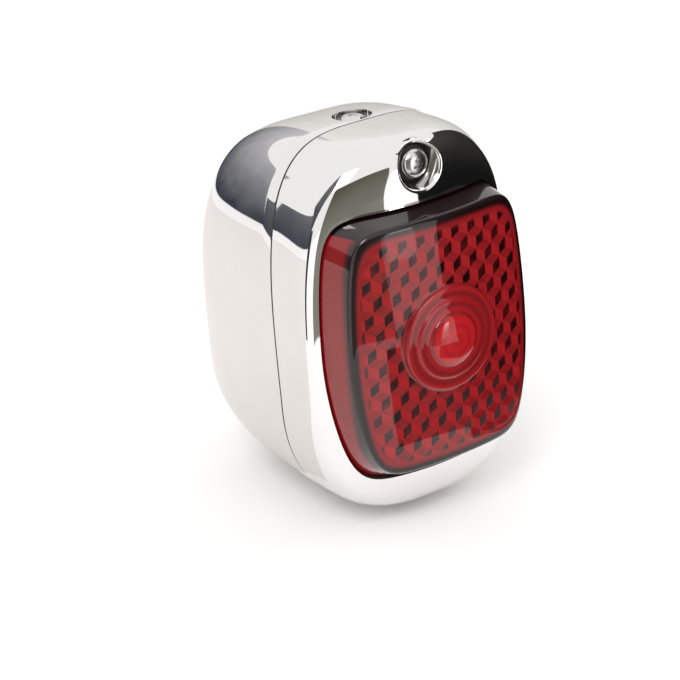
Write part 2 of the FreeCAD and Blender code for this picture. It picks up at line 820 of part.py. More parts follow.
def top_screw_washer():
    """Toothed lock washer under the top screw's head."""
    teeth = int(size("washer_teeth"))
    bore = "top_shank_radius + seal_gap"
    corners = []
    for k in range(2 * teeth):
        radius = "washer_radius" if k % 2 == 0 else "washer_radius * 0.86"
        angle = math.degrees(math.pi * k / teeth)
        corners.append((f"{radius} * cos({angle:.1f} deg)", f"{radius} * sin({angle:.1f} deg)"))
    washer = plate("top_screw_washer", "XY_Plane", [corners], [("0", "0", bore)], "washer_wall")
    return put(washer, "0", SEAT_Y, SEAT, UPRIGHT)


def top_screw_nut():
    """Hexagonal nut under the bracket's leg."""
    centre = "top_nut_radius"
    corners = [(f"{centre} * cos({60 * k} deg)", f"{centre} * sin({60 * k} deg)") for k in range(6)]
    nut = plate("top_screw_nut", "XY_Plane", [corners], [("0", "0", "top_shank_radius")], "top_nut_height")
    return put(nut, "0", SEAT_Y, f"{SEAT} - sheet_wall - bracket_wall - top_nut_height", UPRIGHT)


# Mounting plate, studs and grommet ----------------------------------------------------------------------

def mount_plate():
    """Thick plate inside the shell's back that spreads the load of the studs."""
    wide, low, top, top_half = "plate_half_width", "plate_half_height", "plate_top", "plate_top_half"
    outline = [(f"-{wide}", f"-{low}"), (wide, f"-{low}"), (wide, low), (top_half, top), (f"-{top_half}", top),
               (f"-{wide}", low)]
    hole = "stud_radius + stud_clearance"
    rivet = "web_half_width + 0.5 * foot_length"
    holes = [("stud_circle_radius", "0", hole), ("-stud_circle_radius", "0", hole),
             ("0", "0", "grommet_groove_radius + seal_gap"), (rivet, "bulb_height", "rivet_radius"),
             (f"-({rivet})", "bulb_height", "rivet_radius")]
    body = plate("mount_plate", "XY_Plane", [outline], holes, "plate_wall")
    return put(body, "0", "-sheet_wall", "0", FORWARD)


def mounting_studs():
    """Two threaded studs with a shoulder in the walls and a flange against the mounting plate."""
    tip = "sheet_wall + plate_wall + stud_length"
    shoulder = "stud_radius + 0.5 * stud_clearance"
    stud = turned("stud", [("0", "0"), ("stud_radius * 0.8", "0"), ("stud_radius", "stud_radius * 0.3"),
                           ("stud_radius", "stud_length"), (shoulder, "stud_length"), (shoulder, tip),
                           ("stud_flange_radius", tip), ("stud_flange_radius", f"{tip} + stud_flange_wall"),
                           ("0", f"{tip} + stud_flange_wall")])
    places = [(f"{side}stud_circle_radius", "stud_length", "0") for side in ("", "-")]
    return group("mounting_studs", copies_of(stud, places, FORWARD))


def wire_grommet():
    """Rubber grommet for the leads: it grips the mounting plate, and its rear flange is flush with the back."""
    bore, groove, rim, lip = "grommet_bore", "grommet_groove_radius", "grommet_radius", "grommet_flange"
    groove_end = "sheet_wall + plate_wall"
    front = f"{groove_end} + {lip}"
    body = turned("wire_grommet", [(bore, "0"), (rim, "0"), (rim, "sheet_wall"), (groove, "sheet_wall"),
                                   (groove, groove_end), (rim, groove_end), (rim, front), (bore, front)])
    return put(body, "0", "0", "0", FORWARD)


# Bulb socket --------------------------------------------------------------------------------------------

PLATE_FRONT = "sheet_wall + plate_wall"


def socket_bracket():
    """Hat-shaped strap: two feet on the mounting plate, two legs and a web with the socket's hole."""
    wall, wide, foot = "socket_sheet", "web_half_width", "foot_length"
    stand = f"(web_stand - {PLATE_FRONT})"
    half = [(f"{wide} + {foot}", "0"), (f"{wide} + {foot}", wall), (wide, wall), (wide, stand)]
    inner = [(f"{wide} - {wall}", f"{stand} - {wall}"), (f"{wide} - {wall}", "0")]
    right = half + [(f"-({across})", along) for across, along in half[::-1]]
    outline = right + [(f"-({across})", along) for across, along in inner[::-1]] + inner
    body = plate("socket_bracket", "XZ_Plane", [outline], [], "2 * leg_half_height")
    disc = new_sketch(body, "XY_Plane")
    disc.setExpression(".AttachmentOffset.Base.z", bound(f"{stand} - {wall}"))
    draw_circle(disc, "0", "-leg_half_height", "web_half_height")
    web = body.newObject("PartDesign::Pad", "socket_bracket_web")
    web.Profile = disc
    web.setExpression("Length", bound(wall))
    doc.recompute()
    for role, across, radius in (("XY_Plane", "0", "socket_outer_radius"),
                                 ("XY_Plane", "web_half_width + 0.5 * foot_length", "rivet_radius"),
                                 ("XY_Plane", "-(web_half_width + 0.5 * foot_length)", "rivet_radius")):
        sketch = new_sketch(body, role)
        draw_circle(sketch, across, "-leg_half_height", radius)
        hole = body.newObject("PartDesign::Pocket", "socket_bracket_hole")
        hole.Profile = sketch
        hole.Type = "ThroughAll"
        hole.Midplane = True
        doc.recompute()
    return put(body, "0", f"-({PLATE_FRONT})", "bulb_height + leg_half_height", FORWARD)


def bracket_rivets():
    """Two rivets through the bracket's feet and the mounting plate."""
    head, rise, shank = "rivet_head_radius", "rivet_head_height", "rivet_radius"
    rivet = turned("rivet", [("0", "0"), (shank, "0"), (shank, "plate_wall + socket_sheet"),
                             (head, "plate_wall + socket_sheet"), (f"{head} * 0.8", f"plate_wall + socket_sheet + {rise}"),
                             ("0", f"plate_wall + socket_sheet + {rise}")])
    places = [(f"{side}(web_half_width + 0.5 * foot_length)", "-sheet_wall", "bulb_height") for side in ("", "-")]
    return group("bracket_rivets", copies_of(rivet, places, FORWARD))


def socket_shell():
    """Bayonet socket: a tube with a turned-in rear edge, a bead on the web and two J-shaped slots."""
    outer = size("socket_outer_radius")
    wall = size("socket_wall")
    rear = -size("socket_start")
    mouth = rear - size("socket_length")
    axis_z = size("bulb_height")
    web = -size("web_stand")
    shell = rod(outer, 0, axis_z, mouth, rear)
    shell = shell.fuse(rod(size("socket_bead_radius"), 0, axis_z, web - size("socket_bead_wall"), web))
    shell = shell.cut(rod(outer - wall, 0, axis_z, mouth - 1, rear - wall))
    shell = shell.cut(rod(outer - 4 * wall, 0, axis_z, mouth - 1, rear + 1))
    pin = size("pin_radius") + size("slot_gap")
    pin_y = -bulb_end() - size("pin_rise")
    half_angle = math.degrees(math.asin(pin / (outer - wall)))
    length = size("push_travel") + 2 * pin
    reach = outer + 3.0
    for side in (0, 180):
        sector = Part.makeCylinder(reach, length, Vector(), Vector(0, 0, 1), size("turn_angle") + 2 * half_angle)
        sector.rotate(Vector(), Vector(0, 0, 1), side - size("turn_angle") - half_angle)
        sector.Placement = Placement(Vector(0, pin_y + size("push_travel") + pin, axis_z), FORWARD).multiply(sector.Placement)
        channel = Part.makeBox(reach, 2 * pin, pin_y - mouth + 2.0, Vector(0, -pin, 0))
        channel.rotate(Vector(), Vector(0, 0, 1), side - size("turn_angle"))
        channel.Placement = Placement(Vector(0, pin_y + 1.0, axis_z), FORWARD).multiply(channel.Placement)
        shell = shell.cut(sector).cut(channel)
    return shaped("socket_shell", shell)


def bulb_end():
    """Depth in front of the back face where the bulb's base ends."""
    return size("carrier_start") + size("carrier_wall") + size("contact_head_wall") + size("solder_rise")


def contact_carrier():
    """Insulating disc that slides in the socket and carries the two contacts."""
    hole = "contact_radius"
    body = new_body("contact_carrier")
    sketch = new_sketch(body, "XY_Plane")
    draw_circle(sketch, "0", "0", "carrier_radius")
    for side in ("", "-"):
        draw_circle(sketch, "0", f"{side}contact_offset", hole)
    pad = body.newObject("PartDesign::Pad", "contact_carrier_pad")
    pad.Profile = sketch
    pad.setExpression("Length", bound("carrier_wall"))
    return put(body, "0", "-carrier_start", "bulb_height", FORWARD)


def socket_contacts():
    """Two brass contacts through the carrier, with heads that meet the bulb."""
    tail, front = "contact_tail", "contact_tail + carrier_wall"
    contact = turned("contact", [("0", "0"), ("contact_radius", "0"), ("contact_radius", front),
                                 ("contact_head_radius", front), ("contact_head_radius", f"{front} + contact_head_wall"),
                                 ("0", f"{front} + contact_head_wall")])
    places = [("0", f"-carrier_start + {tail}", f"bulb_height {sign} contact_offset") for sign in "+-"]
    return group("socket_contacts", copies_of(contact, places, FORWARD))


def contact_spring():
    """Coil spring that pushes the carrier and the bulb towards the lens."""
    wire = size("spring_wire_radius")
    length = size("carrier_start") - size("socket_start") - size("socket_wall") - 2 * wire - 0.1
    helix = Part.makeHelix(length / size("spring_turns"), length, size("spring_radius"))
    section = Part.Wire(Part.makeCircle(wire, Vector(size("spring_radius"), 0, 0), Vector(0, 1, 0)))
    coil = Part.Wire(helix).makePipeShell([section], True, True)
    start = -size("socket_start") - size("socket_wall") - wire - 0.05
    return shaped("contact_spring", coil, Placement(Vector(0, start, size("bulb_height")), FORWARD))


# Bulb ---------------------------------------------------------------------------------------------------

BULB_END = "carrier_start + carrier_wall + contact_head_wall + solder_rise"


def bulb_base():
    """Brass cap of the bulb, closed at its contact end."""
    radius, wall = "base_radius", "base_wall"
    base = turned("bulb_base", [("0", "0"), (f"{radius} - 1", "0"), (radius, "1"), (radius, "base_length"),
                                (f"{radius} - {wall}", "base_length"), (f"{radius} - {wall}", "1.5"),
                                ("0", "1.5")])
    return put(base, "0", f"-({BULB_END})", "bulb_height", FORWARD)


def bulb_pins():
    """Two bayonet pins in the cap."""
    pin = doc.addObject("Part::Cylinder", "pin")
    pin.setExpression("Radius", bound("pin_radius"))
    pin.setExpression("Height", bound("pin_reach - base_radius + 0.2"))
    pair = []
    for side, start in ((1, "base_radius - 0.2"), (-1, "-(base_radius - 0.2)")):
        piece = pin if side > 0 else doc.addObject("Part::Cylinder", "pin_left")
        piece.setExpression("Radius", bound("pin_radius"))
        piece.setExpression("Height", bound("pin_reach - base_radius + 0.2"))
        pair.append(put(piece, start, f"-({BULB_END}) - pin_rise", "bulb_height",
                        Rotation(Vector(0, 1, 0), 90 * side)))
    return group("bulb_pins", pair)


def bulb_contacts():
    """Two solder contacts on the end of the cap."""
    dot = turned("solder_dot", [("0", "0"), ("solder_radius * 0.7", "0"), ("solder_radius", "solder_rise * 0.5"),
                                ("solder_radius", "solder_rise"), ("0", "solder_rise")])
    places = [("0", f"-({BULB_END}) + solder_rise", f"bulb_height {sign} contact_offset") for sign in "+-"]
    return group("bulb_contacts", copies_of(dot, places, FORWARD))


def bulb_glass():
    """Blown glass envelope: a ball that runs into a neck, which is cemented in the cap."""
    def envelope(inset):
        ball = size("glass_radius") - inset
        neck = size("base_radius") - size("base_wall") - inset
        bottom = size("base_length") - size("neck_depth") + inset
        centre = size("glass_centre")
        shoulder = math.radians(size("glass_shoulder_angle"))
        pull = size("glass_flare_pull")
        meet = Vector(ball * math.cos(-shoulder), centre - ball * math.sin(shoulder), 0)
        blend = Part.BezierCurve()
        flare = Vector(neck, bottom + size("neck_depth") + 1.0, 0)
        blend.setPoles([flare, Vector(neck, bottom + size("glass_flare_length"), 0),
                        Vector(meet.x - pull * math.sin(shoulder), meet.y - pull * math.cos(shoulder), 0), meet])
        side = Vector(ball, centre, 0)
        tip = Vector(0, centre + ball, 0)
        dome = Part.Arc(meet, side, tip)
        edges = [Part.makeLine(Vector(0, bottom, 0), Vector(neck, bottom, 0)),
                 Part.makeLine(Vector(neck, bottom, 0), blend.value(0)), blend.toShape(), dome.toShape(),
                 Part.makeLine(tip, Vector(0, bottom, 0))]
        return Part.Face(Part.Wire(edges)).revolve(Vector(), Vector(0, 1, 0), 360)

    glass = envelope(0.0).cut(envelope(size("glass_wall")))
    turn_forward = Rotation(Vector(0, 0, 1), 180)
    return shaped("bulb_glass", glass, Placement(Vector(0, -bulb_end(), size("bulb_height")), turn_forward))


def stem_start():
    """Distance from the bulb's end to the inside of the glass's neck."""
    return "base_length - neck_depth + glass_wall"


def bulb_stem():
    """Glass stem that seals the lead wires."""
    stem = turned("bulb_stem", [("0", "0"), ("stem_radius * 1.4", "0"), ("stem_radius", "stem_length * 0.35"),
                                ("stem_radius * 0.8", "stem_length"), ("0", "stem_length")])
    return put(stem, "0", f"-({BULB_END}) - ({stem_start()})", "bulb_height", FORWARD)


def support_ends():
    """Where the four support wires end: two for each filament, at its own height."""
    front = -bulb_end() - size("base_length") + size("neck_depth") - size("glass_wall") - size("stem_length")
    tip = front - size("support_length")
    return front, tip, [(side, level) for level in (-1, 1) for side in (-1, 1)]


def filament_supports():
    """Four stiff wires from the stem to the filaments' ends."""
    front, tip, ends = support_ends()
    wires = []
    for side, level in ends:
        z = size("bulb_height") + level * size("filament_split")
        spread = size("support_root_spread")
        start = Vector(side * spread, front + size("support_root_depth"), size("bulb_height") + level * spread)
        end = Vector(side * size("support_spread"), tip, z)
        wires.append(Part.makeCylinder(size("support_radius"), start.distanceToPoint(end), start, end - start))
    return shaped("filament_supports", Part.makeCompound(wires).cut(doc.getObject("bulb_stem").Shape))


def filaments():
    """Two filaments, one for the tail light and one for the brake light, across the supports."""
    _, tip, _ = support_ends()
    reach = size("support_spread") + size("filament_overhang")
    end_y = tip - size("filament_end_gap")
    wires = []
    for level in (-1, 1):
        z = size("bulb_height") + level * size("filament_split")
        ends = [Vector(-reach, end_y, z), Vector(0, end_y - size("filament_bow"), z), Vector(reach, end_y, z)]
        arc = Part.Wire(Part.Arc(*ends).toShape())
        lead = arc.Edges[0].tangentAt(arc.Edges[0].FirstParameter)
        section = Part.Wire(Part.makeCircle(size("filament_radius"), ends[0], lead))
        wires.append(arc.makePipeShell([section], True, False))
    return shaped("filaments", Part.makeCompound(wires))


# Build, check and write ---------------------------------------------------------------------------------

PIECES = [rear_shell, rim_gasket, bezel, lens, lens_gasket, lens_straps, strap_studs, strap_nuts, bezel_hook,
          door_screw, screw_seal, screw_bracket, captive_nut, top_screw, top_screw_washer, top_screw_nut,
          mount_plate, mounting_studs, wire_grommet, socket_bracket, bracket_rivets, socket_shell,
          contact_carrier, socket_contacts, contact_spring, bulb_base, bulb_pins, bulb_contacts, bulb_glass,
          bulb_stem, filament_supports, filaments]
for make in PIECES:
    make()
    doc.recompute()

for item in doc.Objects:
    if "Invalid" in item.State or "Error" in item.State:
        raise ValueError(f"{item.Label} did not compute: {item.State}")
for node in nodes:
    if node.Shape.isNull() or not node.Shape.isValid() or not node.Shape.Solids:
        raise ValueError(f"{node.Label} has no valid solid")
os.makedirs("parts", exist_ok=True)
for node in nodes:
    node.Shape.exportStep(f"parts/{node.Label}.step")
    box = node.Shape.BoundBox
    print(f"{node.Label:20s} {len(node.Shape.Solids)} solids, volume {node.Shape.Volume:9.1f}, "
          f"x {box.XMin:6.1f}..{box.XMax:6.1f}, y {box.YMin:6.1f}..{box.YMax:6.1f}, z {box.ZMin:6.1f}..{box.ZMax:6.1f}")
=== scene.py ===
import math
import bpy
from mathutils import Euler, Matrix, Vector


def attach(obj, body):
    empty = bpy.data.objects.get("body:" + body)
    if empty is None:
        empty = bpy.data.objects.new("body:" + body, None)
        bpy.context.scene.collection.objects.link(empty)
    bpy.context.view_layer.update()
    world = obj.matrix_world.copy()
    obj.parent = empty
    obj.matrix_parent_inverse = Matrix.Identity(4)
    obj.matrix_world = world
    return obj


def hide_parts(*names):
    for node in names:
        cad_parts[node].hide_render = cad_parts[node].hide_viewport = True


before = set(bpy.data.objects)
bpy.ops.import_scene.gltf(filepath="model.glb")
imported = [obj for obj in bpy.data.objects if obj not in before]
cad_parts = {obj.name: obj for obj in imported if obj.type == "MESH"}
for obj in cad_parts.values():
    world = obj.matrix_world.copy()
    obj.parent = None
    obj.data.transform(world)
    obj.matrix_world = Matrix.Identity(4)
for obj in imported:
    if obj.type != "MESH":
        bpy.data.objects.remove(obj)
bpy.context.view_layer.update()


class Signal:
    """One value inside a material, so that its pattern can be written as ordinary arithmetic."""

    def __init__(self, look, socket):
        self.look = look
        self.socket = socket

    def math(self, operation, *others):
        return self.look.node("ShaderNodeMath", {"operation": operation}, [self, *others])

    def __add__(self, other):
        return self.math("ADD", other)

    def __radd__(self, other):
        return self.math("ADD", other)

    def __sub__(self, other):
        return self.math("SUBTRACT", other)

    def __rsub__(self, other):
        return self.look.node("ShaderNodeMath", {"operation": "SUBTRACT"}, [other, self])

    def __mul__(self, other):
        return self.math("MULTIPLY", other)

    def __rmul__(self, other):
        return self.math("MULTIPLY", other)

    def __truediv__(self, other):
        return self.math("DIVIDE", other)

    def __pow__(self, other):
        return self.math("POWER", other)

    def above(self, other):
        return self.math("GREATER_THAN", other)

    def below(self, other):
        return self.math("LESS_THAN", other)

    def larger(self, other):
        return self.math("MAXIMUM", other)

    def clamped(self):
        return self.look.node("ShaderNodeClamp", {}, [self])


class Look:
    """A material with one Principled shader and the nodes that feed it."""

    def __init__(self, name, constants):
        self.material = bpy.data.materials.new(name)
        self.material.use_nodes = True
        self.tree = self.material.node_tree
        self.shader = self.tree.nodes["Principled BSDF"]
        for socket, value in constants.items():
            self.shader.inputs[socket].default_value = value

    def node(self, kind, settings, inputs, output=0):
        """Any node: its settings first, then each input as a constant or a link."""
        made = self.tree.nodes.new(kind)
        for key, value in settings.items():
            setattr(made, key, value)
        pairs = inputs.items() if isinstance(inputs, dict) else enumerate(inputs)
        for key, value in pairs:
            if isinstance(value, Signal):
                self.tree.links.new(value.socket, made.inputs[key])
            else:
                made.inputs[key].default_value = value
        return Signal(self, made.outputs[output])

    def place(self):
        """Where the shaded point is on the piece, in metres."""
        return self.node("ShaderNodeTexCoord", {}, {}, "Object")

    def axis(self, letter):
        return self.node("ShaderNodeSeparateXYZ", {}, [self.place()], "XYZ".index(letter))

    def noise(self, scale, detail=3.0, stretch=(1, 1, 1)):
        """Soft mottling between 0 and 1; scale is in cells per metre."""
        where = self.node("ShaderNodeVectorMath", {"operation": "MULTIPLY"}, [self.place(), stretch])
        settled = {"Vector": where, "Scale": scale, "Detail": detail}
        return self.node("ShaderNodeTexNoise", {}, settled, "Fac")

    def blend(self, share, low, high):
        """A colour between two, by a share."""
        return self.node("ShaderNodeMix", {"data_type": "RGBA"}, {0: share, 6: low, 7: high}, 2)

    def feed(self, socket, signal):
        self.tree.links.new(signal.socket, self.shader.inputs[socket])

    def relief(self, height, distance, strength=1.0):
        """A bump from a height of 0 to 1, that deep in metres."""
        raised = {"Height": height, "Distance": distance, "Strength": strength}
        bump = self.node("ShaderNodeBump", {}, raised, 0)
        self.feed("Normal", bump)


def finish_node(name, look):
    """A part of the frame that keeps its own shape and takes a finish."""
    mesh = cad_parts[name].data
    mesh.materials.clear()
    mesh.materials.append(look.material)


# Rear shell: a deep cup drawn from steel sheet, polished and chromed. It bolts flat against the fender
# by two studs, and its joggled lip carries the bezel. A round seat pressed into its crown takes a screw.

HALF_WIDTH, CROWN, CHIN = 37.7, 69.8, -48.2
BACK_HALF_WIDTH, BACK_CROWN, BACK_CHIN = 25.7, 33.1, -33.3
WIDEST = -10.0
SHOULDER_POWER, JOWL_POWER, TAIL_POWER = 3.64, 2.35, 2.43
SEAM, LIP_ROOT, LIP_TIP = -56.0, -55.0, -60.0
LIP_OUTSIDE, LIP_INSIDE = 1.5, 2.5
WALL = 1.2
TAIL_STEPS = 36
SEAT_Y, SEAT_FLOOR, SEAT_RADIUS = -49.4, 66.9, 5.9
CUP_RADIUS, CUP_MIDDLE, CUP_HEIGHT = 7.1, 67.0, 3.2
CROWN_SCREW_HOLE = 2.2
STUD_ACROSS, STUD_HOLE, OUTLET_HOLE = 17, 3.2, 7.6


def superellipse(turn, power):
    """Across and up on a unit superellipse, each from -1 to 1."""
    radius = (abs(math.cos(turn)) ** power + abs(math.sin(turn)) ** power) ** (-1.0 / power)
    return radius * math.cos(turn), radius * math.sin(turn)


def housing_outline(turn, half_width, top, bottom):
    """The housing's outline in millimetres: widest 10 mm below the studs, square-shouldered above."""
    across, up = superellipse(turn, SHOULDER_POWER if math.sin(turn) >= 0 else JOWL_POWER)
    return half_width * across, WIDEST + up * (top - WIDEST if up >= 0 else WIDEST - bottom)


def joint_outline(turn, inset):
    """The outline at the joint line between shell and bezel, moved inwards."""
    return housing_outline(turn, HALF_WIDTH - inset, CROWN - inset, CHIN + inset)


def rolled(name, rings):
    """A closed solid: a primitive grid whose rows are laid on rings of points in millimetres."""
    around = len(rings[0])
    bpy.ops.mesh.primitive_grid_add(x_subdivisions=around, y_subdivisions=len(rings) - 1)
    piece = bpy.context.object
    piece.name = name
    columns = around + 1
    for number, vertex in enumerate(piece.data.vertices):
        vertex.co = Vector(rings[number // columns][number % columns % around]) * 0.001
    bpy.ops.object.mode_set(mode="EDIT")
    bpy.ops.mesh.select_all(action="SELECT")
    bpy.ops.mesh.remove_doubles(threshold=0.000002)
    bpy.ops.mesh.normals_make_consistent(inside=False)
    bpy.ops.object.mode_set(mode="OBJECT")
    bpy.ops.object.select_all(action="DESELECT")
    return piece


def cut(piece, cutter, operation="DIFFERENCE"):
    """Take one closed solid out of another, and remove the cutter."""
    step = piece.modifiers.new("cut", "BOOLEAN")
    step.object = cutter
    step.operation = operation
    step.solver = "EXACT"
    bpy.context.view_layer.objects.active = piece
    bpy.ops.object.modifier_apply(modifier=step.name)
    bpy.data.objects.remove(cutter)


def bar(radius, centre, length, turn=(0, 0, 0), sides=96):
    """A round cutter in millimetres, along its own Z axis unless it is turned."""
    bpy.ops.mesh.primitive_cylinder_add(vertices=sides, radius=radius * 0.001, depth=length * 0.001,
                                        location=Vector(centre) * 0.001, rotation=turn)
    bpy.ops.object.transform_apply(location=True, rotation=True, scale=True)
    return bpy.context.object


def smoothed(piece, degrees):
    bpy.ops.object.select_all(action="DESELECT")
    piece.select_set(True)
    bpy.context.view_layer.objects.active = piece
    bpy.ops.object.shade_smooth_by_angle(angle=math.radians(degrees))
    bpy.ops.object.select_all(action="DESELECT")


TURNS = [math.tau * k / 192 for k in range(192)]


def level(outline, y):
    return [(outline(turn)[0], y, outline(turn)[1]) for turn in TURNS]


def tail(inset, y_start, y_back):
    """Rings that taper from the joint line to the flat back."""
    rings = []
    for k in range(TAIL_STEPS + 1):
        swell, along = superellipse(0.5 * math.pi * k / TAIL_STEPS, TAIL_POWER)
        swell = max(swell, 0.0)
        half = BACK_HALF_WIDTH + (HALF_WIDTH - BACK_HALF_WIDTH) * swell - inset
        top = BACK_CROWN + (CROWN - BACK_CROWN) * swell - inset
        bottom = BACK_CHIN + (CHIN - BACK_CHIN) * swell + inset
        y = y_start + (y_back - y_start) * along
        rings.append(level(lambda turn: housing_outline(turn, half, top, bottom), y))
    return rings


def joint_levels(places):
    """Rings that follow the joint line, each at an inset and a depth."""
    return [level(lambda turn: joint_outline(turn, inset), y) for inset, y in places]


outside = tail(0.0, SEAM, 0.0)
inside = tail(WALL, LIP_ROOT, -WALL)
edge_round = joint_levels([(0.35, SEAM), (0.1, SEAM + 0.1), (0.0, SEAM + 0.35)])
lip = joint_levels([(LIP_INSIDE, LIP_ROOT), (LIP_INSIDE, LIP_TIP),
                    (LIP_OUTSIDE, LIP_TIP), (LIP_OUTSIDE, SEAM)])
back_centre = [[(0, y, 0)] * len(TURNS) for y in (0, -WALL)]
shell = rolled("shell_skin", lip + edge_round + outside[2:] + back_centre + inside[::-1] + lip[:1])
cut(shell, bar(CUP_RADIUS, (0, SEAT_Y, CUP_MIDDLE), CUP_HEIGHT), "UNION")
cut(shell, bar(SEAT_RADIUS, (0, SEAT_Y, SEAT_FLOOR + 10.0), 20.0))
cut(shell, bar(CROWN_SCREW_HOLE, (0, SEAT_Y, 66.0), 8.0, sides=48))
for across, radius in ((-STUD_ACROSS, STUD_HOLE), (STUD_ACROSS, STUD_HOLE), (0, OUTLET_HOLE)):
    cut(shell, bar(radius, (across, 0, 0), 8.0, (math.pi / 2, 0, 0)))
smoothed(shell, 32)
chrome = Look("chrome", {"Metallic": 1.0, "IOR": 1.5})
mottle = chrome.noise(55.0)
chrome.feed("Base Color", chrome.blend(mottle, (0.80, 0.785, 0.78, 1), (0.87, 0.855, 0.845, 1)))
chrome.feed("Roughness", 0.02 + 0.03 * chrome.noise(240.0, 5.0))
chrome.relief(chrome.noise(45.0, 1.0), 0.00012, 0.5)
shell.data.materials.append(chrome.material)
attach(shell, "housing")
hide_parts("rear_shell")


# Bezel: a drawn, chromed cover that hangs on the shell's lip and frames the lens. Its front is curved in
# plan and rolls over into its sides. A round dish pressed into its brow takes the screw that holds it.

LENS_HALF_WIDTH, LENS_HALF_HEIGHT, LENS_CENTRE = 33.0, 40.7, 10.0
LENS_TOP_HALF, LENS_FOOT_HALF = 29.5, 26.5
LENS_POWER = 9.0
DOOR_FRONT, DOOR_SWEEP, DOOR_REAR = 83.0, 11.0, -56.8
LENS_GAP = 0.4
ROLL_POWER, BROW_GAIN, CHIN_LOSS, CORNER_LOSS = 4.5, 0.5, 2.1, 1.6
OUTER_STEPS, INNER_STEPS = 40, 28
DISH_Z, DISH_FLOOR, DISH_RADIUS = 61.6, -77.6, 5.4
DISH_SLOPE = 5.4 / 1.85
DISH_BORE = 2.3
SIDES = 144


def lens_outline(turn, grow, chin_grow):
    """The lens outline in millimetres, grown outwards; its lower half takes its own amount in height."""
    across, rise = superellipse(turn, LENS_POWER)
    end_half, taller = (LENS_TOP_HALF, grow) if rise >= 0 else (LENS_FOOT_HALF, chin_grow)
    half = LENS_HALF_WIDTH - (LENS_HALF_WIDTH - end_half) * rise ** 2 + grow
    return across * half, LENS_CENTRE + rise * (LENS_HALF_HEIGHT + taller)


def door_front(x):
    return DOOR_FRONT - DOOR_SWEEP * (abs(x) / HALF_WIDTH) ** 2.1


def door_skin(wall, steps):
    """Rings from the bezel's rear edge to the lens opening, at a wall's depth."""
    rings = []
    for k in range(steps + 1):
        ring = []
        for turn in TURNS:
            upper = max(math.sin(turn), 0.0)
            lower = max(-math.sin(turn), 0.0)
            power = ROLL_POWER + BROW_GAIN * upper ** 2 - CHIN_LOSS * lower ** 2
            power -= CORNER_LOSS * (2 * upper * math.cos(turn)) ** 2
            shrink, along = superellipse(0.5 * math.pi * k / steps, power)
            rim = joint_outline(turn, wall)
            hole = lens_outline(turn, LENS_GAP, LENS_GAP)
            x = hole[0] + (rim[0] - hole[0]) * max(shrink, 0.0)
            z = hole[1] + (rim[1] - hole[1]) * max(shrink, 0.0)
            ring.append((x, DOOR_REAR - (door_front(x) - wall + DOOR_REAR) * along, z))
        rings.append(ring)
    return rings


outer = door_skin(0.0, OUTER_STEPS)
inner = door_skin(WALL, INNER_STEPS)
lens_edge = []
for share in (0.2, 0.5, 0.8):
    lens_edge.append([(a[0] + (b[0] - a[0]) * share * 0.2, a[1] + (b[1] - a[1]) * share, a[2])
                      for a, b in zip(outer[-1], inner[-1])])
cover = rolled("bezel_skin", outer + lens_edge + inner[::-1] + outer[:1])


def skin_depth(x, z):
    """How far forward the bezel's outer skin stands at a point of its front, in millimetres."""
    hit, where, _, _ = cover.ray_cast(Vector((x * 0.001, -0.2, z * 0.001)), Vector((0, 1, 0)))
    return where.y * 1000 if hit else DOOR_REAR


def dish_mouth(spoke):
    """The radius at which the dish's sloping wall meets the skin, along one spoke."""
    low, high = DISH_RADIUS, 9.0
    for _ in range(24):
        radius = 0.5 * (low + high)
        wall_y = DISH_FLOOR - (radius - DISH_RADIUS) * DISH_SLOPE
        surface = skin_depth(radius * math.cos(spoke), DISH_Z + radius * math.sin(spoke))
        low, high = (radius, high) if wall_y > surface else (low, radius)
    return radius


def dish_profile(spoke):
    """The dish's section along one spoke, from the skin over the rolled rim to the floor's hole."""
    mouth = dish_mouth(spoke)
    points = []
    for out in (1.5, 1.2, 0.95, 0.75):
        radius = mouth + out
        depth = skin_depth(radius * math.cos(spoke), DISH_Z + radius * math.sin(spoke))
        points.append((radius, depth - 0.003))
    start = Vector(points[-1])
    corner = Vector((mouth, skin_depth(mouth * math.cos(spoke), DISH_Z + mouth * math.sin(spoke))))
    low = Vector((DISH_RADIUS, DISH_FLOOR))
    drop = min(0.8, 0.45 * (low - corner).length)
    stop = corner + (low - corner).normalized() * drop
    for k in range(1, 9):
        t = k / 8
        points.append(tuple(start * (1 - t) ** 2 + corner * 2 * t * (1 - t) + stop * t ** 2))
    foot = low + (corner - low).normalized() * min(0.7, 0.4 * (low - corner).length)
    inner_end = Vector((4.5, DISH_FLOOR))
    points.append(tuple(foot))
    for k in range(1, 6):
        t = k / 5
        points.append(tuple(foot * (1 - t) ** 2 + low * 2 * t * (1 - t) + inner_end * t ** 2))
    points += [(DISH_BORE, DISH_FLOOR), (DISH_BORE, DISH_FLOOR + WALL), (5.6, DISH_FLOOR + WALL)]
    points.append((max(mouth, 6.2) + 0.9, DISH_FLOOR - 0.4 - 0.5 * max(mouth - 6.0, 0.0)))
    points.append((mouth + 1.35, points[1][1] + 0.9))
    return points + points[:1]


